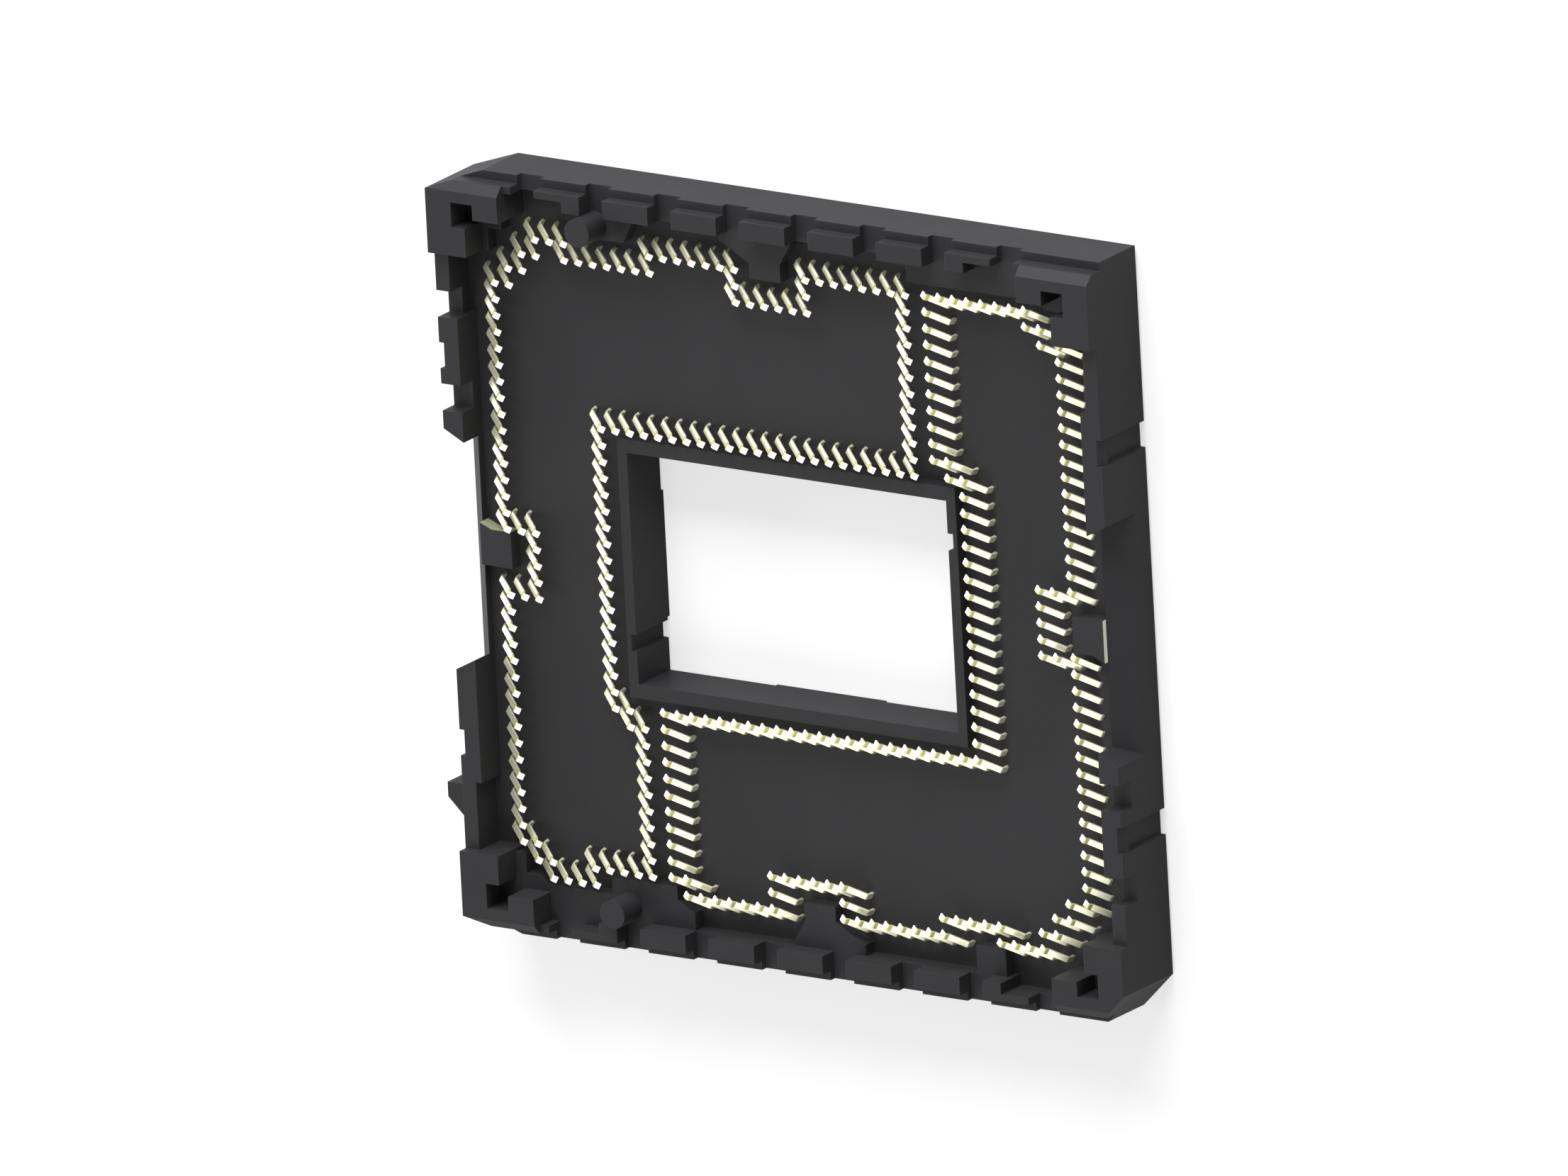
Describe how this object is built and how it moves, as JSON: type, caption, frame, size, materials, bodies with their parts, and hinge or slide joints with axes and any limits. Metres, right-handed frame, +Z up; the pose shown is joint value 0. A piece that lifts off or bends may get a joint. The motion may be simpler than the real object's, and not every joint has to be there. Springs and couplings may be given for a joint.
{
  "type": "ic socket",
  "caption": "Square surface-mount processor socket: black moulded frame with a centre window, two L-shaped fields of bent spring contacts, toothed rims, keys and corner posts.",
  "frame": {"origin": "on the board plane, under the centre of the square moulded frame and of its window", "axes": "+X points to the right-hand side wall, +Y to the rim whose right end carries the seating ledge, +Z up, away from the board"},
  "size_m": [0.0443, 0.0426, 0.0049],
  "materials": {
    "housing_plastic": "fine moulded texture, matte",
    "contact_metal": "plated spring strip, satin"
  },
  "bodies": {
    "root": {"contacts_left_rows_00_03": "contact_metal", "contacts_left_rows_04_07": "contact_metal", "contacts_left_rows_08_11": "contact_metal", "contacts_left_rows_12_15": "contact_metal", "contacts_left_rows_16_19": "contact_metal", "contacts_left_rows_20_23": "contact_metal", "contacts_left_rows_24_27": "contact_metal", "contacts_left_rows_28_31": "contact_metal", "contacts_left_rows_32_35": "contact_metal", "contacts_left_rows_36_39": "contact_metal", "contacts_right_rows_00_03": "contact_metal", "contacts_right_rows_04_07": "contact_metal", "contacts_right_rows_08_11": "contact_metal", "contacts_right_rows_12_15": "contact_metal", "contacts_right_rows_16_19": "contact_metal", "contacts_right_rows_20_23": "contact_metal", "contacts_right_rows_24_27": "contact_metal", "contacts_right_rows_28_31": "contact_metal", "contacts_right_rows_32_35": "contact_metal", "contacts_right_rows_36_39": "contact_metal", "housing": "housing_plastic"}
  },
  "joints": []
}
